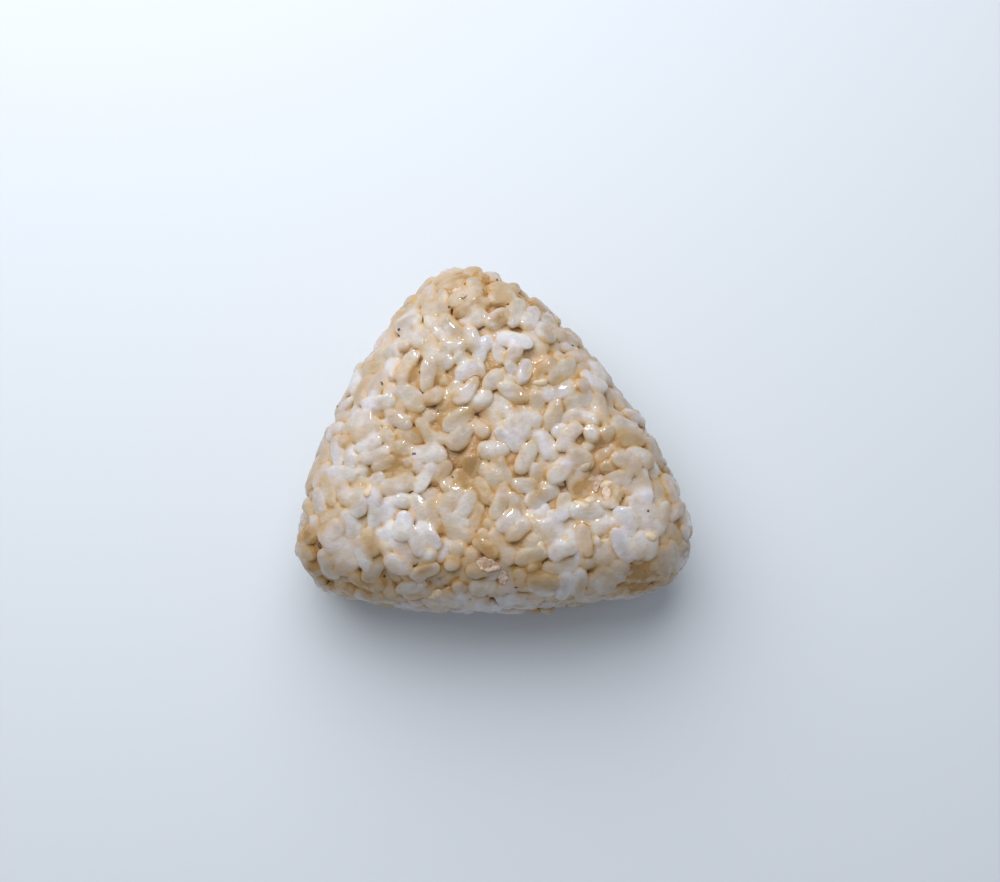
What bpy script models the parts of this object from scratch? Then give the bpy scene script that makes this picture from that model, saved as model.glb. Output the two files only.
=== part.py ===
"""Onigiri: a triangular rice ball, pressed by hand and lying on one of its two flat faces.

Run with: blender --background --python part.py
Units are metres. +X runs along the base edge, +Y from the base to the apex, +Z is up.
The origin is on the resting face, under the middle of the bounding box.

The ball is one closed solid, made in three steps:
1. a smooth pressed body, given by a distance field: a bowed triangle with round corners,
   a flat resting face, a slightly crowned upper face and round shoulders between them;
2. a box's grid of faces, whose points are pushed out from the middle onto that body;
3. grain lumps: the skin sinks into shallow furrows between lying rice grains, except on
   the resting face, which is pressed flat.
"""

import math
import random

import bmesh
import bpy
from mathutils import Vector, kdtree

MM = 0.001

# Plan view: three round corners, each a circle (centre x, centre y, radius).
APEX = (-3.7 * MM, 20.9 * MM, 9.5 * MM)
LEFT_CORNER = (-25.5 * MM, -20.8 * MM, 8.5 * MM)
RIGHT_CORNER = (26.6 * MM, -18.9 * MM, 10.2 * MM)

# Plan view: three bowed sides, arcs that run tangent into the corner circles.
LEFT_SIDE_RADIUS = 85.5 * MM
RIGHT_SIDE_RADIUS = 92.5 * MM
BASE_SIDE_RADIUS = 108.5 * MM

# Side view.
THICKNESS = 27.5 * MM
SHOULDER_RADIUS = 8.5 * MM
FLANK_BOW = 1.0 * MM  # how much wider the ball is at mid height than at its faces
CROWN = 1.4 * MM  # how much the upper face falls away towards the outline
CROWN_REACH = 34 * MM

# Cooked short-grain rice, as it shows in the skin.
GRAIN_LENGTH = 7.6 * MM
GRAIN_WIDTH = 4.0 * MM
GRAIN_FACE_AREA = 21 * MM * MM  # skin that one lying grain takes up
FURROW_DEPTH = 1.3 * MM
FLAT_REACH = 2.5 * MM  # lumps fade out over this height above the resting face
SEED = 7

# Mesh of the solid.
STEPS_ACROSS = 32  # quads across each flat face, both ways
STEPS_UP = 18  # quads up the flank
RIM_INSET = SHOULDER_RADIUS / 2  # the flat faces' grids end this far inside the outline
FARTHEST_REACH = 60 * MM
BISECTIONS = 34
PROBE = 0.05 * MM

RICE_COLOUR = (0.58, 0.45, 0.30, 1.0)
RICE_ROUGHNESS = 0.38

MID_HEIGHT = THICKNESS / 2
MIDDLE = Vector((0, -2 * MM, MID_HEIGHT))


def clear_scene():
    for thing in list(bpy.data.objects):
        bpy.data.objects.remove(thing)


def side_arc(corner_a, corner_b, radius):
    """Centre of the arc that touches both corner circles from outside, counter-clockwise from a to b."""
    ax, ay, ar = corner_a
    bx, by, br = corner_b
    span = math.hypot(bx - ax, by - ay)
    reach_a, reach_b = radius - ar, radius - br
    along = (reach_a**2 - reach_b**2 + span**2) / (2 * span)
    across = math.sqrt(reach_a**2 - along**2)
    ux, uy = (bx - ax) / span, (by - ay) / span
    return ax + ux * along - uy * across, ay + uy * along + ux * across


def outline():
    """The three corners with the arcs that leave and reach them, counter-clockwise from the apex."""
    corners = [APEX, LEFT_CORNER, RIGHT_CORNER]
    radii = [LEFT_SIDE_RADIUS, BASE_SIDE_RADIUS, RIGHT_SIDE_RADIUS]
    arcs = [
        (*side_arc(corners[i], corners[(i + 1) % 3], radii[i]), radii[i])
        for i in range(3)
    ]
    return corners, arcs


CORNERS, ARCS = outline()


def beyond(arc, corner, x, y):
    """How far (x, y) lies past the line from the arc's centre through the corner's, counter-clockwise."""
    dx, dy = corner[0] - arc[0], corner[1] - arc[1]
    return dx * (y - corner[1]) - dy * (x - corner[0])


def outline_distance(x, y):
    """Signed distance to the plan outline, negative inside."""
    for i, corner in enumerate(CORNERS):
        arriving, leaving = ARCS[i - 1], ARCS[i]
        if beyond(arriving, corner, x, y) > 0 > beyond(leaving, corner, x, y):
            return math.hypot(x - corner[0], y - corner[1]) - corner[2]
    return max(math.hypot(x - ax, y - ay) - radius for ax, ay, radius in ARCS)


def both_rounded(a, b, radius):
    """The distance to the shape inside both a and b, with the edge between them rounded."""
    return min(max(a, b), -radius) + math.hypot(max(a + radius, 0), max(b + radius, 0))


def body_distance(point):
    """Signed distance to the smooth pressed body, negative inside."""
    x, y, z = point
    rise = (z - MID_HEIGHT) / MID_HEIGHT
    side = outline_distance(x, y) + FLANK_BOW * rise**2
    face = abs(z - MID_HEIGHT) - MID_HEIGHT
    if rise > 0:
        face += CROWN * (x * x + y * y) / CROWN_REACH**2
    return both_rounded(side, face, SHOULDER_RADIUS)


def last_inside(distance_at, farthest):
    """How far out from the middle distance_at stays negative."""
    inside, outside = 0.0, farthest
    for _ in range(BISECTIONS):
        reach = (inside + outside) / 2
        if distance_at(reach) < 0:
            inside = reach
        else:
            outside = reach
    return inside


def on_body(direction):
    """The point where a ray from the middle leaves the body."""
    reach = last_inside(lambda t: body_distance(MIDDLE + direction * t), FARTHEST_REACH)
    return MIDDLE + direction * reach


def body_normal(point):
    steps = [Vector((PROBE, 0, 0)), Vector((0, PROBE, 0)), Vector((0, 0, PROBE))]
    slope = [body_distance(point + s) - body_distance(point - s) for s in steps]
    return Vector(slope).normalized()


def rim_reach(turn):
    """How far the flat faces' rim lies from the middle, at this angle in plan."""
    x, y = math.cos(turn), math.sin(turn)
    return last_inside(
        lambda t: outline_distance(MIDDLE.x + x * t, MIDDLE.y + y * t) + RIM_INSET,
        FARTHEST_REACH,
    )


def toward(a, b, c):
    """The direction in which a point of the box from -1 to 1 is pushed out onto the body."""
    turn = math.atan2(b, a)
    reach = rim_reach(turn) * max(abs(a), abs(b))
    return Vector((reach * math.cos(turn), reach * math.sin(turn), c * MID_HEIGHT)).normalized()


def skin_area(skin):
    return sum(face.calc_area() for face in skin.faces)


def grain_seats(skin):
    """Where grains lie in the skin: (centre, long axis, cross axis), no two closer than a grain's width."""
    rng = random.Random(SEED)
    wanted = round(skin_area(skin) / GRAIN_FACE_AREA)
    spots = [v.co.copy() for v in skin.verts]
    rng.shuffle(spots)
    seats = []
    for spot in spots:
        if all((spot - other).length > GRAIN_WIDTH for other, _, _ in seats):
            normal = body_normal(spot)
            heading = Vector([rng.uniform(-1, 1) for _ in range(3)])
            along = (heading - normal * heading.dot(normal)).normalized()
            seats.append((spot, along, normal.cross(along)))
        if len(seats) == wanted:
            break
    return seats


def furrow(point, seats, nearest):
    """How far the skin sinks at a point: 0 on a grain's back, FURROW_DEPTH between grains."""
    crest = 0.0
    for _, index, _ in nearest.find_range(point, GRAIN_LENGTH / 2):
        spot, along, across = seats[index]
        away = point - spot
        u = away.dot(along) / (GRAIN_LENGTH / 2)
        v = away.dot(across) / (GRAIN_WIDTH / 2)
        crest = max(crest, 1 - u * u - v * v)
    return FURROW_DEPTH * (1 - crest) ** 1.5


def eased(v, depths):
    """A point's furrow depth, evened out with its neighbours', so that no furrow has a torn edge."""
    around = [depths[edge.other_vert(v)] for edge in v.link_edges]
    return (depths[v] + sum(around) / len(around)) / 2


def settled(point, depth):
    """A skin point, sunk into its furrow. The resting face stays flat."""
    lift = min(max(point.z / FLAT_REACH, 0), 1)
    sunk = point - body_normal(point) * depth * lift
    sunk.z = max(sunk.z, 0)
    return sunk


def box_shell():
    """The surface of a box from -1 to 1, with each face cut into an even grid."""
    shell = bmesh.new()
    steps = (STEPS_ACROSS, STEPS_ACROSS, STEPS_UP)
    points = {}

    def point(place):
        if place not in points:
            points[place] = shell.verts.new([2 * n / m - 1 for n, m in zip(place, steps)])
        return points[place]

    for axis in range(3):
        first, second = [other for other in range(3) if other != axis]
        for level in (0, steps[axis]):
            for i in range(steps[first]):
                for j in range(steps[second]):
                    ring = []
                    for di, dj in ((0, 0), (1, 0), (1, 1), (0, 1)):
                        place = [level] * 3
                        place[first], place[second] = i + di, j + dj
                        ring.append(point(tuple(place)))
                    shell.faces.new(ring)
    return shell


def merge_resting_face(skin):
    """Joins the coplanar faces that the ball rests on into one."""
    lying = [face for face in skin.faces if all(v.co.z == 0 for v in face.verts)]
    bmesh.ops.dissolve_faces(skin, faces=lying, use_verts=True)


def centre_on_base(mesh):
    """Puts the origin under the middle of the bounding box, on the resting face."""
    for axis in (0, 1):
        values = [v.co[axis] for v in mesh.verts]
        middle = (min(values) + max(values)) / 2
        for v in mesh.verts:
            v.co[axis] -= middle


def rice_material():
    material = bpy.data.materials.new("seasoned_rice")
    material.use_nodes = True
    shader = material.node_tree.nodes["Principled BSDF"]
    shader.inputs["Base Color"].default_value = RICE_COLOUR
    shader.inputs["Roughness"].default_value = RICE_ROUGHNESS
    shader.inputs["Metallic"].default_value = 0.0
    return material


def rice_ball():
    skin = box_shell()
    for v in skin.verts:
        v.co = on_body(toward(*v.co))
        v.co.z = max(v.co.z, 0) if v.co.z > PROBE / 10 else 0

    seats = grain_seats(skin)
    nearest = kdtree.KDTree(len(seats))
    for index, (spot, _, _) in enumerate(seats):
        nearest.insert(spot, index)
    nearest.balance()
    depths = {v: furrow(v.co, seats, nearest) for v in skin.verts}
    for v in skin.verts:
        v.co = settled(v.co, eased(v, depths))
    centre_on_base(skin)

    bmesh.ops.recalc_face_normals(skin, faces=skin.faces[:])
    merge_resting_face(skin)
    bmesh.ops.triangulate(skin, faces=skin.faces[:])

    mesh = bpy.data.meshes.new("rice_ball")
    skin.to_mesh(mesh)
    skin.free()
    mesh.shade_smooth()
    mesh.materials.append(rice_material())
    ball = bpy.data.objects.new("rice_ball", mesh)
    bpy.context.scene.collection.objects.link(ball)
    return ball


clear_scene()
rice_ball()
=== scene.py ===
import math

import bmesh
import bpy
import numpy as np
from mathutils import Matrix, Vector, bvhtree, kdtree


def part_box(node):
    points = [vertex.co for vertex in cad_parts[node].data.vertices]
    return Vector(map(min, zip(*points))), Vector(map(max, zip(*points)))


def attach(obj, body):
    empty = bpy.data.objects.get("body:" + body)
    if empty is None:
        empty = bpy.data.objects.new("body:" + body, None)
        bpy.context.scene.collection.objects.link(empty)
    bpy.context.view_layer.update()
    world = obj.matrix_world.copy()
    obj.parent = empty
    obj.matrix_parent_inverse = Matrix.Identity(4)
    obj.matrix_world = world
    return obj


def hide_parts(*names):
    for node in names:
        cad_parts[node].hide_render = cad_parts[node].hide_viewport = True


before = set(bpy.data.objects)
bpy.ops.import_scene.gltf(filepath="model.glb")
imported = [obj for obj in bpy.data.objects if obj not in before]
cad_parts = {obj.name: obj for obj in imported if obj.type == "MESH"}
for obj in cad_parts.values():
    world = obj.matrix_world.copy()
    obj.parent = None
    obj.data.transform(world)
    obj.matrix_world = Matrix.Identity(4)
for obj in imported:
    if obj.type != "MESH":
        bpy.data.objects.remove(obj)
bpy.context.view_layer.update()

MM = 0.001
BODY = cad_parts["rice_ball"]
LOW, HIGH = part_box("rice_ball")
SEED = 11

# Cooked short-grain rice.
GRAIN_LENGTH = (4.9 * MM, 7.0 * MM)
GRAIN_WIDTH = (2.7 * MM, 3.7 * MM)
GRAIN_THICKNESS = (0.74, 0.86)  # of the width
GRAIN_BLUNTNESS = 3.2  # the ends' curve: 2 is an ellipse, more is blunter
BLUNT_FULLNESS = 1.18  # a blunt grain's volume over an ellipsoid's
AXIS_INSET = 0.9  # how far inside its ends a grain's axis stops, in its own radii
GRAIN_BEND = 0.35 * MM
GRAIN_SKEW = 0.13  # how much fatter one end may be
GRAIN_CREASE = 0.10  # depth of the crease down one side, as a share of the radius
GRAIN_NOTCH = 0.28  # the same for the notch that the germ left
PAINTED_CREST_SHADE = (-0.04, 0.16)  # painted shade: how much darker a grain's colour is where one looks straight into it, standing in for light passing through the grain

# How the grains are packed.
SHELL_DEPTH = 7.0 * MM
FILL = 1.16  # grain volume over shell volume; above 1, as pressed grains share their edges
TRIES = 200000  # places to choose the grains' first ones from
START_DEPTH = 1.5 * MM  # no grain starts nearer to the skin
START_SIZE = 0.5  # of the full size
LYING = 0.62  # how much of its slope out of the skin a grain loses
UPRIGHT_PULL = 0.9
ROLL = 0.35  # how far grains roll off their flat sides
PRESS = (0.70, 1.05)  # how near a grain's axis comes to the skin, in its own radii
LOW_PRESS = (1.25, 1.8)  # the same for the grains that lie lower
LOW_SHARE = 0.35  # how many do
SQUASH = 0.20  # how far two touching grains give way
PUSH = 0.30  # the share of an overlap that one step takes away
PAIR_MARGIN = 0.6 * MM
PAIR_STEPS = 6  # steps between two looks at which grains are near each other
GROW_STEPS = 90
RELAX_STEPS = 150
SKIN_UNEVENNESS = 0.35 * MM  # what the hand left
SKIN_SWELL = 1.2 * MM  # the grains reach this far past the evened-out solid, to its own lumps' height
SKIN_WAVE = 9 * MM

# Where the grains lie mostly from base to apex, as (across, along, up, reach), in millimetres.
UPRIGHT_PATCHES = [(-8, -17, 27, 11), (-12, -10, 27, 8), (2, -10, 27, 8)]

MILKINESS = 0.62  # light evens out inside a grain: the share of the ball's own slope in its shading

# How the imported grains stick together.
FILLET = 0.8 * MM  # width over which two grains' skins run together
STICKINESS = 0.5  # how much that width varies over the ball
STICKY_WAVE = 7 * MM
RIM = 1.3 * MM  # how far the seams' colour reaches onto a grain
SEAM_STEPS = 4
SEAM_MOVE = 0.35 * MM  # the farthest that one step draws a skin out
SLIT = 0.7  # below this, two skins face each other, and the way out is the ball's own
BURIED_FROM = 0.25 * MM  # skin this deep inside another grain starts to stay where it is
BURIED_OVER = 0.6 * MM
RIPPLE = 0.06 * MM
RIPPLE_WAVE = 2.6 * MM
PRESSED_INSET = 0.05 * MM
SHUT_REACHES = (0.6 * MM, 1.6 * MM)  # how far out one looks for grains that shut a place in
NEIGHBOURS = 18
FAR = 1.0  # farther than any grain

# Hollows in the upper face, as (across, along, reach, depth), in millimetres.
HOLLOWS = [(18, -11, 4.0, 2.4), (-2.5, 1.5, 2.2, 1.5), (-5, -10.5, 2.2, 1.5), (6.3, 10.2, 2.4, 1.5),
           (-18, -9, 2.5, 1.1), (12.5, -13.5, 2.0, 1.2), (20, -24, 2.0, 1.2), (1.5, -25, 3.0, 1.1)]

# The pressed form, from the solid with its own lumps smoothed away.
WELD = 0.001 * MM
SMOOTHINGS = 4
FIELD_STEP = 1.0 * MM
FIELD_MARGIN = 8 * MM
SLOPE_REACH = 0.8 * MM
UPPER_SHARE = 0.6  # the hollows are above this share of the height


# ---- The pressed form, as a distance field ----

def cad_skin():
    """The CAD solid's skin, closed."""
    skin = bmesh.new()
    skin.from_mesh(BODY.data)
    bmesh.ops.remove_doubles(skin, verts=skin.verts, dist=WELD)
    return skin


class Form:
    """Signed distance to the pressed body, negative inside, read from an even grid."""

    def __init__(self):
        skin = cad_skin()
        for _ in range(SMOOTHINGS):
            bmesh.ops.smooth_vert(skin, verts=[v for v in skin.verts if v.co.z > 1e-5], factor=0.5,
                                  use_axis_x=True, use_axis_y=True, use_axis_z=True)
        skin.normal_update()
        tree = bvhtree.BVHTree.FromBMesh(skin)
        self.low = np.array(LOW) - FIELD_MARGIN
        counts = np.ceil((np.array(HIGH) + FIELD_MARGIN - self.low) / FIELD_STEP).astype(int) + 1
        values = np.empty(counts)
        for i, j, k in np.ndindex(*counts):
            point = Vector(self.low + np.array((i, j, k)) * FIELD_STEP)
            spot, normal, _, distance = tree.find_nearest(point)
            values[i, j, k] = math.copysign(distance, (point - spot).dot(normal)) - SKIN_SWELL
        skin.free()
        self.values = values
        self.counts = counts

    def at(self, points):
        """Signed distance, read between the grid's places."""
        place = (points - self.low) / FIELD_STEP
        place = np.clip(place, 0, self.counts - 1.001)
        cell = place.astype(int)
        part = place - cell
        total = 0
        for corner in np.ndindex(2, 2, 2):
            weight = np.ones(points.shape[:-1])
            for axis in range(3):
                weight = weight * (part[..., axis] if corner[axis] else 1 - part[..., axis])
            index = cell + np.array(corner)
            total = total + weight * self.values[index[..., 0], index[..., 1], index[..., 2]]
        return total

    def skin(self, points):
        """The same, with the uneven skin that the hand left."""
        return self.at(points) + waves(points, SKIN_WAVE, SEED + 1) * SKIN_UNEVENNESS

    def hollowed(self, points):
        """The same again, with the hollows of the upper face."""
        sunk = 0
        for across, along, reach, depth in HOLLOWS:
            away = np.hypot(points[..., 0] / MM - across, points[..., 1] / MM - along)
            sunk = sunk + depth * MM * np.exp(-(away / reach) ** 2)
        return self.skin(points) + sunk * (points[..., 2] > HIGH.z * UPPER_SHARE)

    def outward(self, points):
        """The way out of the form."""
        slope = np.stack([self.at(points + step) - self.at(points - step)
                          for step in np.eye(3) * SLOPE_REACH], -1)
        return unit(slope)


def unit(vectors):
    return vectors / np.maximum(np.linalg.norm(vectors, axis=-1, keepdims=True), 1e-12)


def dot(a, b):
    return (a * b).sum(-1)


def waves(points, length, seed):
    """Smooth uneven values, about -1 to 1, whose ups and downs are about length apart."""
    rng = np.random.default_rng(seed)
    total = 0
    for _ in range(6):
        heading = unit(rng.normal(size=3))
        total = total + np.sin(points @ heading * 2 * math.pi / (length * rng.uniform(0.8, 1.5))
                               + rng.uniform(0, 2 * math.pi))
    return total / 2.6


# ---- Packing ----

def patchy(points, patches):
    """How strongly points lie in any of the patches, 0 to 1."""
    best = 0
    for *middle, reach in patches:
        away = np.linalg.norm(points - np.array(middle) * MM, axis=-1)
        best = np.maximum(best, np.exp(-(away / (reach * MM)) ** 2))
    return best


def nearest_on_axes(one, one_axis, one_half, two, two_axis, two_half):
    """How far along each of two short lines, from its middle, they come nearest to each other."""
    apart = one - two
    turned, from_one, from_two = dot(one_axis, two_axis), dot(one_axis, apart), dot(two_axis, apart)
    s = np.clip((turned * from_two - from_one) / np.maximum(1 - turned * turned, 1e-4), -one_half, one_half)
    t = np.clip(turned * s + from_two, -two_half, two_half)
    s = np.clip(turned * t - from_one, -one_half, one_half)
    return s, t


class Grains:
    """Centres, axes, sizes and odd shapes of all grains."""

    def __init__(self, form, rng):
        self.centre = self.scattered(form, rng)
        count = self.count = len(self.centre)
        self.length = rng.uniform(*GRAIN_LENGTH, count)
        self.width = rng.uniform(*GRAIN_WIDTH, count)
        self.thick = self.width * rng.uniform(*GRAIN_THICKNESS, count)
        self.radius = (self.width + self.thick) / 4
        self.half = self.length / 2 - self.radius * AXIS_INSET
        self.size = np.stack([self.length, self.width, self.thick], -1) / 2
        self.skew = rng.uniform(-GRAIN_SKEW, GRAIN_SKEW, count)
        self.bend = np.stack([rng.uniform(-1, 1, count), rng.uniform(-1, 0.4, count)], -1) * GRAIN_BEND
        self.phase = rng.uniform(0, 2 * math.pi, (3, count))
        self.crease = rng.uniform(-math.pi, math.pi, count), rng.uniform(0.0, GRAIN_CREASE, count)
        self.notch = rng.uniform(0.0, GRAIN_NOTCH, count)
        self.clear = rng.uniform(*PAINTED_CREST_SHADE, count)
        self.low = rng.random(count) < LOW_SHARE
        deeper, nearer = rng.uniform(*LOW_PRESS, count), rng.uniform(*PRESS, count)
        self.sunk = self.radius * np.where(self.low, deeper, nearer)
        normal = form.outward(self.centre)
        heading = rng.normal(size=(count, 3))
        heading -= normal * (dot(heading, normal) * LYING)[:, None]
        heading[:, 1] += UPRIGHT_PULL * patchy(self.centre, UPRIGHT_PATCHES)
        self.axis = unit(heading)

    @staticmethod
    def scattered(form, rng):
        """Enough places in the shell to fill it with grains."""
        long, wide, thick = [sum(pair) / 2 for pair in (GRAIN_LENGTH, GRAIN_WIDTH, GRAIN_THICKNESS)]
        volume = math.pi / 6 * long * wide**2 * thick * BLUNT_FULLNESS
        span = np.array(HIGH) - np.array(LOW)
        tries = np.array(LOW) + rng.random((TRIES, 3)) * span
        depth = form.at(tries)
        inside = (depth < -START_DEPTH) & (depth > -SHELL_DEPTH)
        shell = span.prod() * ((depth < 0) & (depth > -SHELL_DEPTH)).mean()
        return tries[inside][:round(shell * FILL / volume)].copy()

    def girth(self, index, t, th):
        """How full the grains index names are, as a share of a plain grain, at (t along, th around)."""
        one, two, three = (phase[index][:, None] for phase in self.phase)
        full = 1 + 0.035 * np.sin(2 * th + 3 * t + one) + 0.03 * np.sin(3 * th - 4 * t + two)
        full = full + 0.02 * np.sin(5 * th + 6 * t + three)
        # A crease runs down one side, and ends in the notch that the germ left.
        where, deep = (value[index][:, None] for value in self.crease)
        turn = (th - where + math.pi) % (2 * math.pi) - math.pi
        full = full - deep * np.exp(-(turn / 0.35) ** 2)
        full = full - self.notch[index][:, None] * np.exp(-((t - 0.84) / 0.16) ** 2 - (turn / 0.7) ** 2)
        return full * (1 + self.skew[index][:, None] * t)

    def pairs(self):
        """Indices of all grains that lie near each other, as two lists."""
        tree = kdtree.KDTree(self.count)
        for i, spot in enumerate(self.centre):
            tree.insert(spot, i)
        tree.balance()
        reach = GRAIN_LENGTH[1] + PAIR_MARGIN
        found = [(i, j) for i in range(self.count)
                 for _, j, _ in tree.find_range(self.centre[i], reach) if j > i]
        return np.array(found).T

    def meeting(self, i, j):
        """How far along their axes grains i and j come nearest, and the way between those places."""
        c, a, h = self.centre, self.axis, self.half
        s, t = nearest_on_axes(c[i], a[i], h[i], c[j], a[j], h[j])
        return s, t, c[i] + a[i] * s[:, None] - c[j] - a[j] * t[:, None]


def pushed_apart(grains, i, j, grown):
    """Both ends of all axes, after those of the grains i and j that are too close moved apart."""
    s, t, apart = grains.meeting(i, j)
    gap = np.linalg.norm(apart, axis=-1)
    touching = (grains.radius[i] + grains.radius[j]) * grown * (1 - SQUASH)
    push = np.maximum(touching - gap, 0) * PUSH
    apart = apart / np.maximum(gap, 1e-9)[:, None] * push[:, None]
    moved = [np.zeros_like(grains.centre), np.zeros_like(grains.centre)]
    for index, place, way in ((i, s / grains.half[i], apart), (j, t / grains.half[j], -apart)):
        for side, share in ((0, (1 + place) / 2), (1, (1 - place) / 2)):
            pull = way * (share / (share**2 + (1 - share) ** 2))[:, None]
            np.add.at(moved[side], index, pull)
    reach = grains.axis * grains.half[:, None]
    return grains.centre + reach + moved[0], grains.centre - reach + moved[1]


def held_in_shell(form, grains, end):
    """One end of all axes, brought back between the skin and the core."""
    depth = form.hollowed(end)
    too_far = np.maximum(depth + grains.sunk, 0)
    too_deep = np.maximum(-SHELL_DEPTH + grains.radius / 2 - depth, 0)
    return end + form.outward(end) * (too_deep - too_far)[:, None]


def pack(form, grains):
    """Lets the grains grow, push each other apart and settle in the shell."""
    for step in range(RELAX_STEPS):
        if step % PAIR_STEPS == 0:
            i, j = grains.pairs()
        grown = min(1, START_SIZE + (1 - START_SIZE) * step / GROW_STEPS)
        head, tail = (held_in_shell(form, grains, end) for end in pushed_apart(grains, i, j, grown))
        grains.centre = (head + tail) / 2
        grains.axis = unit(head - tail)
    grains.axes = frames(form, grains)
    grains.neighbours = nearest_grains(grains)


def frames(form, grains):
    """Each grain's three axes: along, across and through it. Near the skin its flat side faces out."""
    out = form.outward(grains.centre)
    roll = np.random.default_rng(SEED + 6).normal(size=out.shape) * ROLL
    across = unit(np.cross(unit(out + roll), grains.axis))
    through = np.cross(grains.axis, across)
    return np.stack([grains.axis, across, through], 1)


def nearest_grains(grains):
    """For each grain, the NEIGHBOURS that press on it most, padded with itself where there are fewer."""
    i, j = grains.pairs()
    apart = grains.meeting(i, j)[2]
    gap = np.linalg.norm(apart, axis=-1) - grains.radius[i] - grains.radius[j]
    near = gap < FILLET * (1 + STICKINESS)
    rows = [[] for _ in range(grains.count)]
    for p, q, g in zip(i[near], j[near], gap[near]):
        rows[p].append((g, q))
        rows[q].append((g, p))
    table = np.tile(np.arange(grains.count)[:, None], (1, NEIGHBOURS))
    for n, row in enumerate(rows):
        for k, (_, q) in enumerate(sorted(row)[:NEIGHBOURS]):
            table[n, k] = q
    return table


# ---- The grains' skins ----

def grain_grid(rings, around):
    """Places on a grain's skin as (along -1..1, angle), and the quads and end triangles between them."""
    along = -np.cos(np.linspace(0, math.pi, rings + 2))[1:-1]
    angle = np.arange(around) * 2 * math.pi / around
    t = np.concatenate([[-1.0], np.repeat(along, around), [1.0]])
    th = np.concatenate([[0.0], np.tile(angle, rings), [0.0]])
    faces = []
    last = 1 + (rings - 1) * around
    for n in range(around):
        m = (n + 1) % around
        faces.append((0, 1 + m, 1 + n))
        faces.append((last + n, last + m, 1 + rings * around))
        for k in range(rings - 1):
            low = 1 + k * around
            faces.append((low + n, low + m, low + around + m, low + around + n))
    return t, th, faces


def lone_skin(grains, chosen, t, th):
    """The chosen grains' skins as each would be alone, where the grains lie."""
    half, wide, thick = (grains.size[chosen, n][:, None] for n in range(3))
    swell = np.sqrt(np.maximum(1 - np.abs(t) ** GRAIN_BLUNTNESS, 0))[None] * grains.girth(chosen, t, th)
    bow = (1 - t * t)[None] * grains.bend[chosen][:, :, None].transpose(1, 0, 2)
    local = np.stack([t * half, np.cos(th) * swell * wide + bow[0], np.sin(th) * swell * thick + bow[1]], -1)
    return np.einsum("gva,gak->gvk", local, grains.axes[chosen]) + grains.centre[chosen][:, None]


def to_grain(points, index, grains):
    """How far points lie outside the grains that index names, and which way is out."""
    away = points - grains.centre[index][:, None]
    local = np.einsum("gvk,gak->gva", away, grains.axes[index])
    size = grains.size[index][:, None]
    t = local[..., 0] / size[..., 0]
    bow = np.maximum(1 - t * t, 0)
    y = (local[..., 1] - grains.bend[index, 0][:, None] * bow) / size[..., 1]
    z = (local[..., 2] - grains.bend[index, 1][:, None] * bow) / size[..., 2]
    full = grains.girth(index, np.clip(t, -1, 1), np.arctan2(z, y))
    y, z, end = y / full, z / full, np.abs(t)
    # The skin is where this value is 0. The distance is the value's root over its own slope.
    value = end**GRAIN_BLUNTNESS + y * y + z * z - 1
    along = GRAIN_BLUNTNESS * end ** (GRAIN_BLUNTNESS - 1) * np.sign(t)
    slope = np.stack([along, 2 * y / full, 2 * z / full], -1)
    slope = slope / size
    steep = np.linalg.norm(slope, axis=-1)
    root = np.sqrt(value + 1)
    distance = (root - 1) / np.maximum(steep / np.maximum(2 * root, 1e-3), 0.5 / size[..., 1])
    out = np.einsum("gva,gak->gvk", slope / np.maximum(steep, 1e-9)[..., None], grains.axes[index])
    return distance, out


def closest_other(points, chosen, grains):
    """Distance to the nearest other grain, the way out of it, and which grain it is."""
    best = np.full(points.shape[:-1], FAR)
    way = np.zeros_like(points)
    which = np.repeat(chosen[:, None], best.shape[1], 1)
    for k in range(NEIGHBOURS):
        rows = np.nonzero(grains.neighbours[chosen, k] != chosen)[0]
        other = grains.neighbours[chosen[rows], k]
        distance, out = to_grain(points[rows], other, grains)
        nearer = distance < best[rows]
        best[rows] = np.where(nearer, distance, best[rows])
        way[rows] = np.where(nearer[..., None], out, way[rows])
        which[rows] = np.where(nearer, other[:, None], which[rows])
    return best, way, which


def run_together(own, own_out, other, other_out, out, width):
    """Distance to two grains that run together over this width, the way out, how near the seam is."""
    seam = np.clip(1 - np.abs(other - own) / width, 0, 1)
    share = np.where(own < other, seam / 2, 1 - seam / 2)[..., None]
    way = own_out * (1 - share) + other_out * share
    facing = np.clip(1 - np.linalg.norm(way, axis=-1) / SLIT, 0, 1)
    return np.minimum(own, other) - width / 4 * seam**2, unit(way + out * facing[..., None]), seam


def enclosed(points, out, width, chosen, grains):
    """How much the grains around a point take of its way out of the ball, 0 to 1."""
    total = 0
    for reach in SHUT_REACHES:
        there = points + out * reach
        own, own_out = to_grain(there, chosen, grains)
        other, other_out, _ = closest_other(there, chosen, grains)
        joined, _, _ = run_together(own, own_out, other, other_out, out, width)
        total = total + np.clip(1 - joined / reach, 0, 1) / len(SHUT_REACHES)
    return np.clip(total, 0, 1)


def pressed(form, points, out):
    """Points, with those past the pressed form brought nearer to it, most of all on the upper face."""
    over = np.maximum(form.hollowed(points) + PRESSED_INSET, 0)
    share = np.clip(0.50 + 0.30 * out[..., 2], 0, 1)
    points = points - out * (over * share)[..., None]
    points[..., 2] = np.maximum(points[..., 2], 0)
    return points


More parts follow.
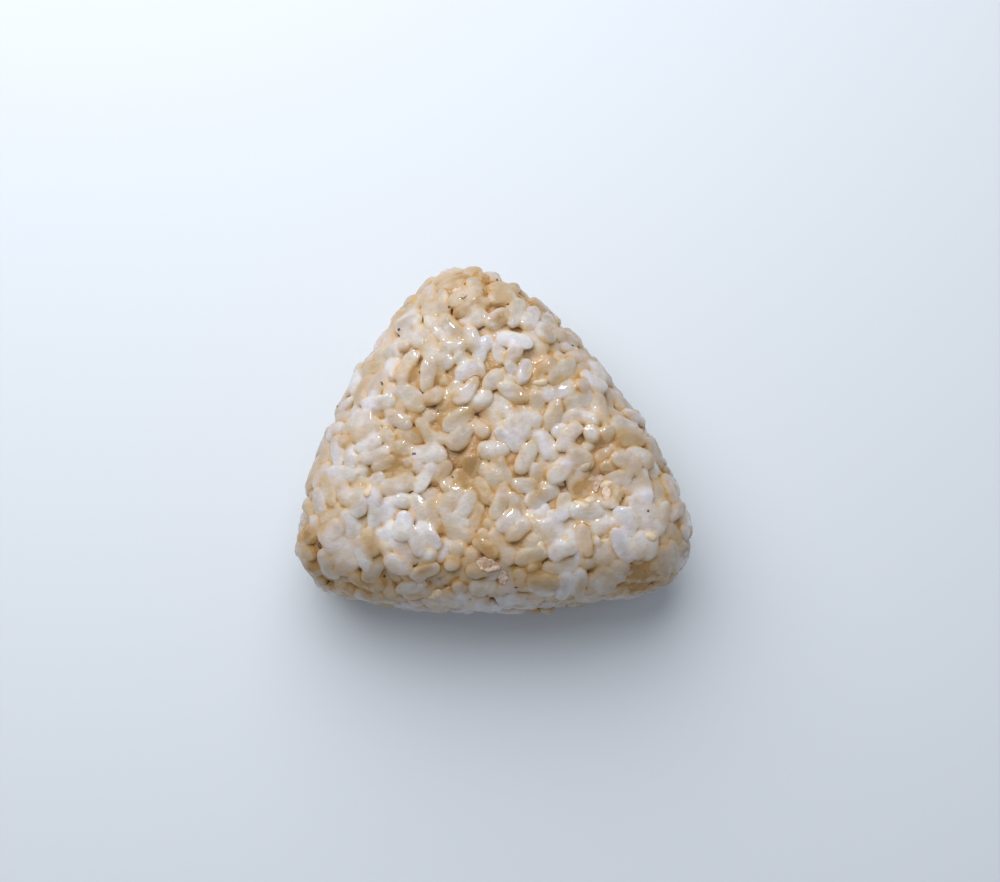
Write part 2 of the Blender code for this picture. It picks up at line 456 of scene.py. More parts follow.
def stuck_skin(form, grains, chosen, t, th):
    """The chosen grains' skins, drawn together at the seams and pressed by the hand.

    Gives the points and, for each: how near its seam is, on a narrow and a wide scale, the way out
    of the grains, the neighbour there, how shut in it is, and how deep it lies in the ball."""
    points = lone_skin(grains, chosen, t, th)
    width = FILLET * (1 + STICKINESS * waves(points, STICKY_WAVE, SEED + 4))
    out = form.outward(points)
    inside = -closest_other(points, chosen, grains)[0]
    buried = np.clip((inside - BURIED_FROM) / BURIED_OVER, 0, 1)
    for _ in range(SEAM_STEPS):
        own, own_out = to_grain(points, chosen, grains)
        other, other_out, which = closest_other(points, chosen, grains)
        joined, way, seam = run_together(own, own_out, other, other_out, out, width)
        points = points + way * (np.clip(-joined, 0, SEAM_MOVE) * (1 - buried))[..., None]
    points = points + way * (waves(points, RIPPLE_WAVE, SEED + 3) * RIPPLE)[..., None]
    shut = enclosed(points, out, width, chosen, grains)
    points = pressed(form, points, out)
    rim = np.clip(1 - np.maximum(other - own, 0) / RIM, 0, 1)
    return points, seam * (1 - buried), rim, way, which, shut, np.clip(-form.skin(points), 0, None)


# ---- Pieces from grains ----

def joined_mesh(name, points, faces, attributes):
    """One mesh of many copies of the same face layout. points is (copies, vertices, 3)."""
    copies, per, _ = points.shape
    mesh = bpy.data.meshes.new(name)
    loops = np.concatenate([np.array(f) for f in faces])
    sizes = np.array([len(f) for f in faces])
    mesh.vertices.add(copies * per)
    mesh.vertices.foreach_set("co", points.astype(np.float32).ravel())
    mesh.loops.add(len(loops) * copies)
    index = (loops[None] + np.arange(copies)[:, None] * per).ravel()
    mesh.loops.foreach_set("vertex_index", index.astype(np.int32))
    mesh.polygons.add(len(sizes) * copies)
    starts = np.concatenate([[0], np.cumsum(np.tile(sizes, copies))[:-1]])
    mesh.polygons.foreach_set("loop_start", starts.astype(np.int32))
    for key, values in attributes.items():
        layer = mesh.attributes.new(key, "FLOAT", "POINT")
        layer.data.foreach_set("value", np.broadcast_to(values, (copies, per)).astype(np.float32).ravel())
    mesh.update(calc_edges=True)
    mesh.validate()
    mesh.shade_smooth()
    return mesh


def soften(mesh, way, seam, out):
    """Leans the normals to the way out that two grains share at a seam, and all of them to the ball's own."""
    plain = np.empty(way.size, np.float32)
    mesh.vertex_normals.foreach_get("vector", plain)
    plain = plain.reshape(way.shape)
    normals = unit(plain * (1 - seam)[..., None] + way * seam[..., None])
    normals = unit(normals * (1 - MILKINESS) + out * MILKINESS)
    mesh.normals_split_custom_set_from_vertices(normals.reshape(-1, 3))


def put(name, data):
    """A new object, in the scene."""
    made = bpy.data.objects.new(name, data)
    bpy.context.scene.collection.objects.link(made)
    return made


def add_piece(name, mesh, material):
    piece = put(name, mesh)
    mesh.materials.append(material)
    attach(piece, "root")
    return piece


# ---- Where the seasoning went ----

# Patches as (across, along, up, reach), in millimetres from the middle of the resting face.
WHITE_PATCHES = [(1, 14, 27, 6), (3, 10, 27, 3), (-24, -7, 25, 5), (-17, -18, 27, 7), (13, -5, 27, 4),
                 (21, -19, 26, 6), (6, -15, 27, 4), (-2, -30, 15, 5), (12, -26, 24, 4), (-17, 14, 25, 4)]
SOY_PATCHES = [(-29, -12, 22, 5), (-18, -9, 27, 5), (-10, 3, 27, 6), (-5, -7, 27, 5), (0, -12, 27, 4),
               (18, -11, 27, 5), (22, -4, 26, 4), (2, -26, 26, 6), (25, -26, 20, 5), (-29, -20, 20, 4),
               (-5, 24, 25, 8), (6, 11, 27, 3), (-21, -27, 22, 5)]
# Where soy ran together on the upper face.
SOY_POOLS = [(-4, -6.3, 27, 1.8), (7, 8.5, 27, 1.8), (11, 7, 27, 1.4), (-2.6, 1.8, 27, 1.8),
             (-6.6, 4.3, 27, 1.4), (-3.4, 7.8, 27, 1.5), (-17, -7.7, 27, 1.9), (17.5, -10, 27, 2.2),
             (-6, -10.3, 27, 1.7), (7.5, -12, 27, 1.3), (-28, -21.8, 21, 2.2), (26, -25.5, 21, 1.5)]

SOAK_MEAN = 0.43
SOAK_SPREAD = 0.17
LOW_SOAK = 0.12  # grains that lie lower took up this much more


def seasoning(grains):
    """How much soy each grain took up, 0 to 1: patches and chance."""
    rng = np.random.default_rng(SEED + 8)
    soaked = rng.normal(SOAK_MEAN, SOAK_SPREAD, grains.count) + LOW_SOAK * grains.low
    soaked += 0.20 * patchy(grains.centre, SOY_PATCHES) - 0.32 * patchy(grains.centre, WHITE_PATCHES)
    return np.clip(soaked, 0, 1)


def soaked_skin(points, chosen, which, seam, soak):
    """Soak over the skin: a grain's own, shared with its neighbour at the seam, in clouds and pools."""
    share = np.clip(seam, 0, 1) / 2
    shared = soak[chosen][:, None] * (1 - share) + soak[which] * share
    clouds = 0.07 * waves(points, 13 * MM, SEED + 9) + 0.06 * waves(points, 4.5 * MM, SEED + 10)
    clouds = clouds + 0.12 * patchy(points, SOY_PATCHES) - 0.16 * patchy(points, WHITE_PATCHES)
    clouds = clouds + 0.50 * patchy(points, SOY_POOLS)
    clouds = clouds + 0.50 * np.clip(waves(points, 5 * MM, SEED + 13) - 0.9, 0, 0.8)
    return np.clip(shared * 0.85 + clouds, 0, 1)


# ---- Shader building ----

class Board:
    """A node tree, with short calls to place and link nodes."""

    def __init__(self, tree):
        self.tree = tree

    def node(self, kind, **settings):
        made = self.tree.nodes.new(kind)
        for key, value in settings.items():
            setattr(made, key, value)
        return made

    def link(self, out, into):
        self.tree.links.new(out, into)

    def feed(self, socket, value):
        if isinstance(value, bpy.types.NodeSocket):
            self.link(value, socket)
        else:
            socket.default_value = value

    def math(self, operation, a, b=0.0, clamp=False):
        made = self.node("ShaderNodeMath", operation=operation, use_clamp=clamp)
        self.feed(made.inputs[0], a)
        self.feed(made.inputs[1], b)
        return made.outputs[0]

    def blend(self, share, a, b, kind="MIX"):
        made = self.node("ShaderNodeMix", data_type="RGBA", blend_type=kind)
        self.feed(made.inputs["Factor"], share)
        self.feed(made.inputs["A"], a)
        self.feed(made.inputs["B"], b)
        return made.outputs["Result"]

    def times(self, a, b):
        """One colour tinted with another."""
        return self.blend(1.0, a, b, "MULTIPLY")

    def noise(self, scale, detail):
        """Noise that stays where it is on the ball."""
        place = self.node("ShaderNodeTexCoord")
        made = self.node("ShaderNodeTexNoise")
        self.link(place.outputs["Object"], made.inputs["Vector"])
        made.inputs["Scale"].default_value = scale
        made.inputs["Detail"].default_value = detail
        return made.outputs["Fac"]

    def attribute(self, name):
        return self.node("ShaderNodeAttribute", attribute_name=name).outputs["Fac"]

    def range(self, value, low, high, to_low=0.0, to_high=1.0, kind="SMOOTHSTEP"):
        made = self.node("ShaderNodeMapRange", interpolation_type=kind)
        for socket, given in zip(made.inputs[:5], (value, low, high, to_low, to_high)):
            self.feed(socket, given)
        return made.outputs[0]

    def relief(self, height, distance, strength=1.0):
        """The normal of a skin with this relief."""
        made = self.node("ShaderNodeBump")
        made.inputs["Strength"].default_value = strength
        made.inputs["Distance"].default_value = distance
        self.link(height, made.inputs["Height"])
        return made.outputs["Normal"]


def group(name, inputs, outputs):
    """An empty shader group with sockets (name, type, default): (group, board, inputs, outputs)."""
    made = bpy.data.node_groups.new(name, "ShaderNodeTree")
    for title, kind, value in inputs:
        made.interface.new_socket(title, in_out="INPUT", socket_type=kind).default_value = value
    for title, kind in outputs:
        made.interface.new_socket(title, in_out="OUTPUT", socket_type=kind)
    board = Board(made)
    return made, board, board.node("NodeGroupInput").outputs, board.node("NodeGroupOutput").inputs


# Seasoned rice from clean to soaked through, as (soak, linear colour).
RICE_RAMP = [(0.00, (0.67, 0.66, 0.725)), (0.15, (0.635, 0.60, 0.62)), (0.30, (0.59, 0.53, 0.50)),
             (0.45, (0.55, 0.46, 0.398)), (0.60, (0.535, 0.419, 0.318)), (0.75, (0.515, 0.378, 0.243)),
             (0.90, (0.475, 0.325, 0.177)), (1.00, (0.415, 0.245, 0.10))]
PINKISH = (1.0, 0.985, 1.0, 1)
YELLOWISH = (1.0, 1.01, 0.94, 1)
GAP = (0.14, 0.58)  # how shut in a place is, from where soy and painted shade start to where they fill the gap
# How much soak a full gap adds: soy held there, and painted shade.
GAP_SOY_AND_SHADE = 0.55
LIT_THROUGH = (1.24, 1.22, 1.17, 1)  # painted light: the gaps' colour is brightened, as light also reaches a gap through the grains beside it
SEAM_SOAK = 0.22
LOW_LYING = (0.7, 3.0)  # mm below the skin, from where soy, painted shade and painted light stay as in a gap
POOL = (1.6, 3.2)  # mm below the skin, from where soy covers the rice, in a brown lifted by painted light


def soy_stain():
    """Colour of seasoned rice: clouds of soak, golden gaps and seams, brown where the soy pooled.

    The gaps' gold is soy and painted shade, brightened by painted light; each grain's crest is
    darkened by painted shade; the pooled brown is brighter than soaked rice, painted light.
    """
    made, board, given, out = group(
        "soy_stain",
        [("Tint", "NodeSocketColor", (1, 1, 1, 1)), ("PooledSoyPaintedLight", "NodeSocketColor", (0.64, 0.41, 0.22, 1)),
         ("Soak", "NodeSocketFloat", 0.3), ("Seam", "NodeSocketFloat", 0.0), ("Deep", "NodeSocketFloat", 0.0),
         ("Shut", "NodeSocketFloat", 0.0), ("Body", "NodeSocketFloat", 1.0)],
        [("Colour", "NodeSocketColor")])
    soak = board.math("ADD", given["Soak"], board.range(board.noise(260, 3), 0.32, 0.68, -0.14, 0.14))
    soak = board.math("ADD", soak, board.range(board.noise(800, 2), 0.3, 0.7, -0.05, 0.05))
    # Gaps, by how shut in and how deep a place is: they take soy and painted shade, then painted light.
    shut = board.range(given["Shut"], *GAP, kind="LINEAR")
    gap = board.math("MAXIMUM", shut, board.range(given["Deep"], *LOW_LYING, 0.0, 0.75))
    uneven = board.range(board.noise(240, 2), 0.3, 0.65, 0.45, 1.0)
    seam = board.math("MULTIPLY", board.range(given["Seam"], 0.5, 1.0, 0.0, SEAM_SOAK), uneven)
    soak = board.math("ADD", soak, seam)
    # Soy in the gaps, and painted shade there.
    soak = board.math("ADD", soak, board.math("MULTIPLY", gap, GAP_SOY_AND_SHADE))
    # Painted shade: where a grain is clearer, more of the soy inside it shows, so its darkened crest takes
    # more soak.
    clear = board.range(given["Body"], 0.84, 1.0, 0.16, 0.0, kind="LINEAR")
    soak = board.math("ADD", soak, clear, clamp=True)
    ramp = board.node("ShaderNodeValToRGB")
    while len(ramp.color_ramp.elements) < len(RICE_RAMP):
        ramp.color_ramp.elements.new(0.5)
    for stop, (at, colour) in zip(ramp.color_ramp.elements, RICE_RAMP):
        stop.position = at
        stop.color = (*colour, 1)
    board.link(soak, ramp.inputs["Fac"])
    drift = board.range(board.noise(330, 2), 0.35, 0.65)
    tinted = board.times(ramp.outputs["Color"], board.blend(drift, PINKISH, YELLOWISH))
    # Body darkens each grain's crest: painted shade.
    tinted = board.times(board.times(tinted, given["Tint"]), given["Body"])
    # Painted light: the gaps' colour is brightened.
    tinted = board.blend(gap, tinted, board.times(tinted, LIT_THROUGH))
    # Deep down, the colour goes to the pooled soy brown, which is brighter than soaked rice: painted light
    # against the shade there.
    pooled = board.range(given["Deep"], *POOL)
    board.link(board.blend(pooled, tinted, given["PooledSoyPaintedLight"]), out["Colour"])
    return made


def wet_starch():
    """The sticky film: its gloss, how it breaks up, and the fine relief of cooked rice."""
    made, board, given, out = group(
        "wet_starch",
        [("Dryness", "NodeSocketFloat", 0.3)],
        [("Roughness", "NodeSocketFloat"), ("Film", "NodeSocketFloat"), ("Height", "NodeSocketFloat")])
    patch = board.noise(620, 2)
    rough = board.math("ADD", given["Dryness"], board.range(patch, 0.3, 0.7, -0.10, 0.16))
    board.link(rough, out["Roughness"])
    board.link(board.range(patch, 0.40, 0.60, 0.9, 0.0), out["Film"])
    fine = board.math("MULTIPLY", board.noise(2600, 2), 0.5)
    board.link(board.math("ADD", board.noise(900, 2), fine), out["Height"])
    return made


STAIN = soy_stain()
STARCH = wet_starch()


def new_material(name):
    """A new material with its board and its Principled shader."""
    material = bpy.data.materials.new(name)
    material.use_nodes = True
    return material, Board(material.node_tree), material.node_tree.nodes["Principled BSDF"]


def rice_material(name, tint, dryness):
    """Cooked rice under a broken wet film."""
    material, board, shader = new_material(name)
    stain = board.node("ShaderNodeGroup", node_tree=STAIN)
    stain.inputs["Tint"].default_value = (*tint, 1)
    for socket in ("Soak", "Seam", "Deep", "Shut", "Body"):
        board.link(board.attribute(socket.lower()), stain.inputs[socket])
    starch = board.node("ShaderNodeGroup", node_tree=STARCH)
    starch.inputs["Dryness"].default_value = dryness
    board.link(stain.outputs["Colour"], shader.inputs["Base Color"])
    board.link(starch.outputs["Roughness"], shader.inputs["Roughness"])
    board.link(starch.outputs["Film"], shader.inputs["Coat Weight"])
    board.link(board.relief(starch.outputs["Height"], 0.12 * MM), shader.inputs["Normal"])
    shader.inputs["Coat Roughness"].default_value = 0.07
    shader.inputs["Coat IOR"].default_value = 1.40
    shader.inputs["Specular IOR Level"].default_value = 0.25
    return material


def packed_material():
    """Rice soaked through, deep between the grains."""
    material, board, shader = new_material("packed_rice")
    stain = board.node("ShaderNodeGroup", node_tree=STAIN)
    stain.inputs["Soak"].default_value = 0.75
    # This depth gives the core the gaps' soy, painted shade and painted light, and some of the pooled brown
    # that painted light lifts.
    stain.inputs["Deep"].default_value = 2.2
    starch = board.node("ShaderNodeGroup", node_tree=STARCH)
    board.link(stain.outputs["Colour"], shader.inputs["Base Color"])
    board.link(starch.outputs["Roughness"], shader.inputs["Roughness"])
    board.link(board.relief(starch.outputs["Height"], 0.3 * MM), shader.inputs["Normal"])
    return material


def seed_material():
    """Hulled sesame: cream, browner at the edge, with a dull waxy skin."""
    material, board, shader = new_material("sesame_skin")
    mottle = board.range(board.noise(1500, 3), 0.3, 0.7)
    cream = board.blend(mottle, (0.60, 0.46, 0.30, 1), (0.70, 0.58, 0.42, 1))
    edged = board.blend(board.attribute("edge"), cream, (0.54, 0.37, 0.21, 1))
    board.link(edged, shader.inputs["Base Color"])
    board.link(board.range(mottle, 0.0, 1.0, 0.34, 0.46), shader.inputs["Roughness"])
    board.link(board.relief(board.noise(2600, 2), 0.05 * MM, 0.5), shader.inputs["Normal"])
    return material


def flake_material():
    """Shavings like dried fish: thin, pinkish tan, with fibres along them."""
    material, board, shader = new_material("flake_skin")
    fibre = board.node("ShaderNodeTexWave", wave_type="BANDS", bands_direction="X")
    along = board.node("ShaderNodeCombineXYZ")
    board.link(board.attribute("across"), along.inputs["X"])
    board.link(along.outputs["Vector"], fibre.inputs["Vector"])
    fibre.inputs["Scale"].default_value = 1.6
    fibre.inputs["Distortion"].default_value = 2
    shade = board.blend(fibre.outputs["Fac"], (0.56, 0.33, 0.21, 1), (0.72, 0.50, 0.37, 1))
    pale = board.range(board.noise(700, 3), 0.35, 0.65)
    board.link(board.blend(pale, shade, (0.78, 0.62, 0.50, 1)), shader.inputs["Base Color"])
    board.link(board.range(fibre.outputs["Fac"], 0.0, 1.0, 0.40, 0.62), shader.inputs["Roughness"])
    board.link(board.relief(fibre.outputs["Fac"], 0.06 * MM, 0.6), shader.inputs["Normal"])
    return material


def speck_material():
    """Specks of seasoning: dark brown."""
    material, board, shader = new_material("speck_skin")
    mottle = board.range(board.noise(900, 3), 0.35, 0.65)
    shade = board.blend(mottle, (0.075, 0.045, 0.028, 1), (0.24, 0.13, 0.065, 1))
    board.link(shade, shader.inputs["Base Color"])
    board.link(board.range(mottle, 0.0, 1.0, 0.35, 0.6), shader.inputs["Roughness"])
    return material


# ---- What lies on the grains ----

HOVER = 3 * MM  # rays down to the grains start this far above them
SEARCH = 0.9 * MM  # how far around a seat one looks for a lower place
LOWEST_SEAT = 0.6 * MM  # nothing is laid nearer to the resting face


class Ground:
    """The finished grain skins, to lay things on."""

    def __init__(self, pieces):
        skin = bmesh.new()
        for piece in pieces:
            skin.from_mesh(piece.data)
        self.tree = bvhtree.BVHTree.FromBMesh(skin)
        skin.free()

    def below(self, start, heading, reach):
        """Where a ray meets the grains, or None."""
        spot = self.tree.ray_cast(Vector(start), Vector(heading), reach)[0]
        return None if spot is None else np.array(spot)

    def lean(self, spot, out, spread):
        """The way out of the ground evened over a disk this wide, and how far its middle is above spot."""
        side = unit(np.cross(out, (0.31, 0.82, 0.48)))
        other = np.cross(out, side)
        found = []
        for turn in np.arange(6) * math.pi / 3:
            start = spot + (side * math.cos(turn) + other * math.sin(turn)) * spread + out * HOVER
            hit = self.below(start, -out, 2 * HOVER)
            if hit is not None:
                found.append(hit)
        if len(found) < 4:
            return out, 0.0
        found = np.array(found)
        middle = found.mean(0)
        normal = np.linalg.svd(found - middle)[2][2]
        normal = normal * math.copysign(1, dot(normal, out))
        return unit(normal + out * 0.6), float(dot(middle - spot, out))


def seats(form, ground, rng, spots, extra, spread, gap_bias):
    """Places on the skin: the named (across, along) spots on the upper face, then extra ones all over.

    Each is (spot, the way out of the ground there, how far the ground's middle is above spot).
    gap_bias is how often a seat is moved to the lowest of a few nearby places, so that it lies in a seam."""
    found = []
    for across, along in spots:
        found.append(ground.below((across * MM, along * MM, HIGH.z + 5 * MM), (0, 0, -1), 20 * MM))
    middle = (np.array(LOW) + np.array(HIGH)) / 2
    far = 60 * MM
    while len(found) < len(spots) + extra:
        heading = unit(rng.normal(size=3) * (1, 1, 0.7))
        found.append(ground.below(middle + heading * far, -heading, far))
    laid = []
    for spot in found:
        if spot is None or spot[2] < LOWEST_SEAT:
            continue
        if rng.random() < gap_bias:
            spot = lowest_near(form, ground, rng, spot)
        laid.append((spot, *ground.lean(spot, form.outward(spot), spread)))
    return laid


def lowest_near(form, ground, rng, spot):
    """The lowest of a few places around spot."""
    out = form.outward(spot)
    best, depth = spot, form.skin(spot)
    for _ in range(8):
        hit = ground.below(spot + rng.normal(size=3) * SEARCH + out * HOVER, -out, 8 * MM)
        if hit is not None and form.skin(hit) < depth:
            best, depth = hit, form.skin(hit)
    return best


def standing(lean, rng):
    """Axes (rows) of a thing that lies on the ground with its third axis along lean."""
    heading = rng.normal(size=3)
    along = unit(heading - lean * dot(heading, lean))
    return np.stack([along, np.cross(lean, along), lean])


# What can be seen from above, as (across, along), in millimetres.
SESAME_SPOTS = [(8.0, 7.1), (17.2, -9.6), (19.7, -10.7), (16.5, -13.6), (15.1, -14.3), (11.4, -10.7),
                (16.2, -7.6), (26.9, -19.9)]
SPECK_SPOTS = [(-5.2, 26.0), (-2.0, 24.5), (0.5, 26.8), (-7.5, 22.0), (-1.0, 20.0), (3.5, 22.6),
               (-31.8, -22.2), (-22.0, -27.0), (23.0, -24.5), (-13.0, 9.0)]
FLAKE_SPOTS = [(-0.9, -25.0), (1.6, -26.6), (18.0, -10.4), (19.6, -12.4), (-6.4, 23.8)]
EXTRA_SESAME = 7
EXTRA_SPECKS = 46
EXTRA_FLAKES = 5

SESAME_LENGTH = (2.5 * MM, 3.1 * MM)
SESAME_SINK = 0.12 * MM
SPECK_LENGTH = (0.35 * MM, 0.80 * MM)
LONG_SPECK = 6  # which of the specks is a long one
LONG_SPECK_LENGTH = 1.3 * MM
FLAKE_LIFT = 0.08 * MM
FLAKE_GRID = (22, 12)


def sesame_seeds(form, ground):
    """Flat teardrops, lying where the hand pressed them in."""
    rng = np.random.default_rng(SEED + 30)
    t, th, faces = grain_grid(14, 16)
    points = []
    edges = []
    for spot, lean, lift in seats(form, ground, rng, SESAME_SPOTS, EXTRA_SESAME, 0.9 * MM, 0.0):
        length = rng.uniform(*SESAME_LENGTH) / 2
        wide = length * rng.uniform(0.56, 0.64)
        swell = np.sqrt(np.maximum(1 - t * t, 0)) * (1 - 0.42 * t) / 1.1
        y = np.cos(th) * swell
        z = np.sin(th) * swell * (1 - 0.15 * np.abs(np.cos(th)))
        local = np.stack([t * length, y * wide, z * wide * 0.48], -1)
        points.append(local @ standing(lean, rng) + spot + lean * (lift - SESAME_SINK))
        edges.append(np.clip(np.abs(y) ** 3 + 0.8 * np.clip(t, 0, 1) ** 6, 0, 1))
    mesh = joined_mesh("sesame_seeds", np.array(points), faces, {"edge": np.array(edges)})
    return add_piece("sesame_seeds", mesh, seed_material())


def specks(form, ground):
    """Chips of dried seasoning, one of them long, lodged between the grains."""
    rng = np.random.default_rng(SEED + 31)
    t, th, faces = grain_grid(7, 9)
    points = []
    laid = seats(form, ground, rng, SPECK_SPOTS, EXTRA_SPECKS, 0.5 * MM, 0.75)
    for n, (spot, lean, _) in enumerate(laid):
        long = LONG_SPECK_LENGTH if n == LONG_SPECK else rng.uniform(*SPECK_LENGTH)
        size = np.array([long, min(long, rng.uniform(0.3, 0.6) * MM), rng.uniform(0.16, 0.3) * MM]) / 2
        swell = np.sqrt(np.maximum(1 - np.abs(t) ** 3, 0))
        local = np.stack([t, np.cos(th) * swell, np.sin(th) * swell], -1)
        local = local * (1 + 0.22 * waves(local, 1.1, SEED + 40 + n)[:, None]) * size
        points.append(local @ standing(lean, rng) + spot)
    mesh = joined_mesh("dark_specks", np.array(points), faces, {})
    return add_piece("dark_specks", mesh, speck_material())


def flake_sheet(rng):
    """A torn, curled shaving as (points, across): a thin closed sheet, in millimetres."""
    length, wide = rng.uniform(2.8, 4.6), rng.uniform(1.1, 1.9)
    u, v = np.meshgrid(*(np.linspace(-1, 1, steps) for steps in FLAKE_GRID), indexing="ij")
    key = int(rng.integers(1000))
    edge = np.stack([u * 2, v * 0 + key, v * 0], -1)
    taper = np.sqrt(np.maximum(1 - np.abs(u) ** 3, 0)) * (1 + 0.18 * waves(edge, 0.9, key))
    x = u * length / 2 + 0.12 * waves(np.stack([v * 2, u * 0 + key, u * 0], -1), 1.0, key + 1)
    y = v * taper * wide / 2 + rng.uniform(-0.3, 0.3) * u * u
    curl = rng.uniform(0.10, 0.26) * (v * taper) ** 2 + rng.uniform(-0.12, 0.20) * u * u
    ripple = 0.09 * waves(np.stack([u * length, v * wide, v * 0], -1), 1.6, key + 2)
    half = 0.045 * np.sqrt(np.maximum(1 - np.maximum(np.abs(u), np.abs(v)) ** 6, 0)) + 0.004
    top = np.stack([x, y, curl + ripple + half], -1).reshape(-1, 3)
    bottom = np.stack([x, y, curl + ripple - half], -1).reshape(-1, 3)
    return np.concatenate([top, bottom]) * MM, np.tile((v * taper).ravel(), 2)


def sheet_faces():
    """Quads of a flake_sheet: its top, its bottom and the rim between them."""
    rows, columns = FLAKE_GRID
    count = rows * columns
    faces = []
    for i in range(rows - 1):
        for j in range(columns - 1):
            a, b = i * columns + j, (i + 1) * columns + j
            c, d = b + 1, a + 1
            faces.append((a, b, c, d))
            faces.append((a + count, d + count, c + count, b + count))
    ring = [i * columns for i in range(rows)] + [(rows - 1) * columns + j for j in range(1, columns)]
    ring += [i * columns + columns - 1 for i in range(rows - 2, -1, -1)] + list(range(columns - 2, 0, -1))
    for n, a in enumerate(ring):
        b = ring[(n + 1) % len(ring)]
        faces.append((a, a + count, b + count, b))
    return faces


def flakes(form, ground):
    """Thin shavings, stuck flat against the grains."""
    rng = np.random.default_rng(SEED + 32)
    points = []
    across = []
    for spot, lean, lift in seats(form, ground, rng, FLAKE_SPOTS, EXTRA_FLAKES, 1.3 * MM, 0.0):
        local, share = flake_sheet(rng)
        points.append(local @ standing(lean, rng) + spot + lean * (lift + FLAKE_LIFT))
        across.append(share)
    mesh = joined_mesh("seasoning_flakes", np.array(points), sheet_faces(), {"across": np.array(across)})
    return add_piece("seasoning_flakes", mesh, flake_material())


# ---- Stage, light and camera ----

def floor():
    """A plain pale floor."""
    mesh = bpy.data.meshes.new("floor")
    reach = 1.5
    corners = [(-reach, -reach, 0), (reach, -reach, 0), (reach, reach, 0), (-reach, reach, 0)]
    mesh.from_pydata(corners, [], [(0, 1, 2, 3)])
    material, _, shader = new_material("pale_floor")
    shader.inputs["Base Color"].default_value = (0.72, 0.78, 0.86, 1)
    shader.inputs["Roughness"].default_value = 0.6
    mesh.materials.append(material)
    put("floor", mesh)


LIGHT_AIM = Vector((0, 0, 0.014))
GLINT_SIZE = (0.006, 0.045)
GLINT_POWER = 0.45


def area_light(name, place, size, power, colour):
    lamp = bpy.data.lights.new(name, "AREA")
    lamp.shape = "ELLIPSE"
    lamp.size, lamp.size_y = size
    lamp.energy = power
    lamp.color = colour
    body = put(name, lamp)
    body.location = place
    body.rotation_euler = (LIGHT_AIM - Vector(place)).to_track_quat("-Z", "Y").to_euler()
    return body


def glint(name, place, colour):
    """A narrow light that shows only where wet skin mirrors it, and throws no shadow."""
    body = area_light(name, place, GLINT_SIZE, GLINT_POWER, colour)
    body.visible_diffuse = False


def light():
    """A wide soft window, behind the ball and above it, and two glints."""
    area_light("window", (-0.09, 0.22, 0.30), (0.56, 0.56), 1.86, (1.0, 0.985, 0.97))
    glint("right_glint", (0.05, 0.20, 0.48), (0.80, 0.90, 1.0))
    glint("left_glint", (-0.10, 0.26, 0.40), (0.85, 0.92, 1.0))


def room():
    """Even pale light from all around."""
    world = bpy.data.worlds.new("room")
    world.use_nodes = True
    back = world.node_tree.nodes["Background"]
    back.inputs["Color"].default_value = (0.91, 0.95, 1.0, 1)
    back.inputs["Strength"].default_value = 0.34
    bpy.context.scene.world = world
    bpy.context.scene.view_settings.view_transform = "Standard"


CAMERA_ELEVATION = math.radians(78)
CAMERA_DISTANCE = 327.9 * MM
CAMERA_LENS = 65
CAMERA_AIM = Vector((1.04 * MM, -0.55 * MM, 13.75 * MM))


def camera():
    """Looks down on the ball from the front, nearly from above."""
    lens = bpy.data.cameras.new("camera")
    lens.lens = CAMERA_LENS
    lens.sensor_width = 36
    lens.clip_start = 0.01
    body = put("camera", lens)
    back = Vector((0, -math.cos(CAMERA_ELEVATION), math.sin(CAMERA_ELEVATION)))
    body.location = CAMERA_AIM + back * CAMERA_DISTANCE
    body.rotation_euler = (-back).to_track_quat("-Z", "Y").to_euler()
    bpy.context.scene.camera = body


# ---- Making it ----

# Kinds of grain from clean to soaked: name, tint, dryness, slot. Each takes an equal share.
KINDS = [
    ("white_grains", (1.00, 1.00, 1.00), 0.56, "plain_rice"),
    ("pale_grains", (1.00, 1.00, 0.99), 0.54, "plain_rice"),
    ("ivory_grains", (1.00, 0.99, 0.97), 0.52, "plain_rice"),
    ("tan_grains", (1.00, 0.99, 0.96), 0.50, "seasoned_rice"),
    ("soy_grains", (1.00, 0.98, 0.94), 0.48, "seasoned_rice"),
]
INNER_KIND = ("inner_grains", (0.92, 0.86, 0.78), 0.50, "seasoned_rice")
OUTER_GRID = (16, 18)
INNER_GRID = (8, 10)
SEEN_DEPTH = 1.7 * MM  # grains whose backs lie deeper than this are inner ones
INNER_DEPTH = 4.5 * MM
CORE_DEPTH = 2.3 * MM
CORE_STEPS = 6
CORE_EASE = 0.6  # the share of the way that one step goes
CORE_RELIEF = 0.5 * MM
CORE_WAVE = 4 * MM


def seam_soy(points, rim):
    """How much soy the seams hold: most in the soaked patches, least in the white ones."""
    soy = 0.75 + 0.35 * patchy(points, SOY_PATCHES) - 0.45 * patchy(points, WHITE_PATCHES)
    soy = soy + 0.25 * waves(points, 9 * MM, SEED + 12)
    return rim * np.clip(soy, 0.4, 1.1)


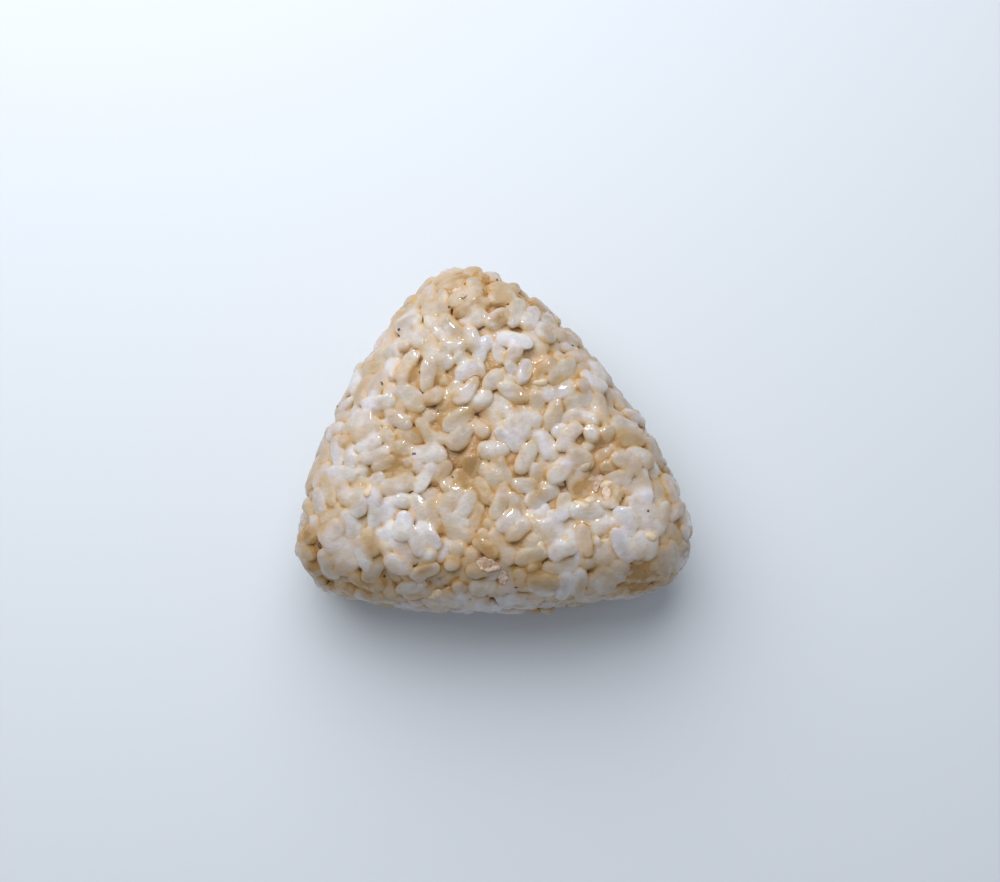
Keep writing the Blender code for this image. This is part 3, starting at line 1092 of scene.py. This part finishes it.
def grain_piece(kind, form, grains, chosen, grid, soak):
    """One piece of all the chosen grains, with the marks that its material reads."""
    name, tint, dryness, slot = kind
    t, th, faces = grain_grid(*grid)
    points, seam, rim, way, which, shut, deep = stuck_skin(form, grains, chosen, t, th)
    out = form.outward(points)
    slope = np.clip(1 - dot(way, out), 0, 1)
    # The body mark is painted shade: a grain's colour is darker on its crest, away from its rims and slopes.
    crest = (1 - rim) * (1 - slope) ** 2
    marks = {"seam": seam_soy(points, rim), "deep": deep / MM, "shut": shut,
             "body": 1 - grains.clear[chosen][:, None] * crest,
             "soak": soaked_skin(points, chosen, which, seam, soak)}
    mesh = joined_mesh(name, points, faces, marks)
    soften(mesh, way, seam, out)
    return add_piece(name, mesh, rice_material(name, tint, dryness))


def backs(form, grains):
    """How deep each grain's back lies below the skin."""
    reach = grains.half[:, None] * np.array([-1, 0, 1])
    spine = grains.centre[:, None] + grains.axis[:, None] * reach[..., None]
    return -form.hollowed(spine).max(1) - grains.radius


def rice(form):
    """The grains, as one piece for each kind."""
    grains = Grains(form, np.random.default_rng(SEED))
    pack(form, grains)
    soak = seasoning(grains)
    back = backs(form, grains)
    outer = np.nonzero(back < SEEN_DEPTH)[0]
    outer = outer[np.argsort(soak[outer], kind="stable")]
    pieces = [grain_piece(kind, form, grains, chosen, OUTER_GRID, soak)
              for kind, chosen in zip(KINDS, np.array_split(outer, len(KINDS)))]
    inner = np.nonzero((back >= SEEN_DEPTH) & (back < INNER_DEPTH))[0]
    return pieces + [grain_piece(INNER_KIND, form, grains, inner, INNER_GRID, soak)]


def core(form):
    """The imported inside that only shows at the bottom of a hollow."""
    skin = cad_skin()
    bmesh.ops.triangulate(skin, faces=skin.faces[:])
    bmesh.ops.subdivide_edges(skin, edges=skin.edges[:], cuts=1, use_grid_fill=True)
    places = np.array([v.co for v in skin.verts])
    for _ in range(CORE_STEPS):
        too_high = form.hollowed(places) + CORE_DEPTH
        places = places - form.outward(places) * too_high[:, None] * CORE_EASE
    relief = waves(places, CORE_WAVE, SEED + 20) * CORE_RELIEF
    places = places + form.outward(places) * relief[:, None]
    for v, place in zip(skin.verts, places):
        v.co = place
    mesh = bpy.data.meshes.new("rice_core")
    skin.to_mesh(mesh)
    skin.free()
    mesh.shade_smooth()
    piece = add_piece("rice_core", mesh, packed_material())
    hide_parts("rice_ball")


form = Form()
ground = Ground(rice(form))
core(form)
sesame_seeds(form, ground)
specks(form, ground)
flakes(form, ground)
floor()
light()
room()
camera()
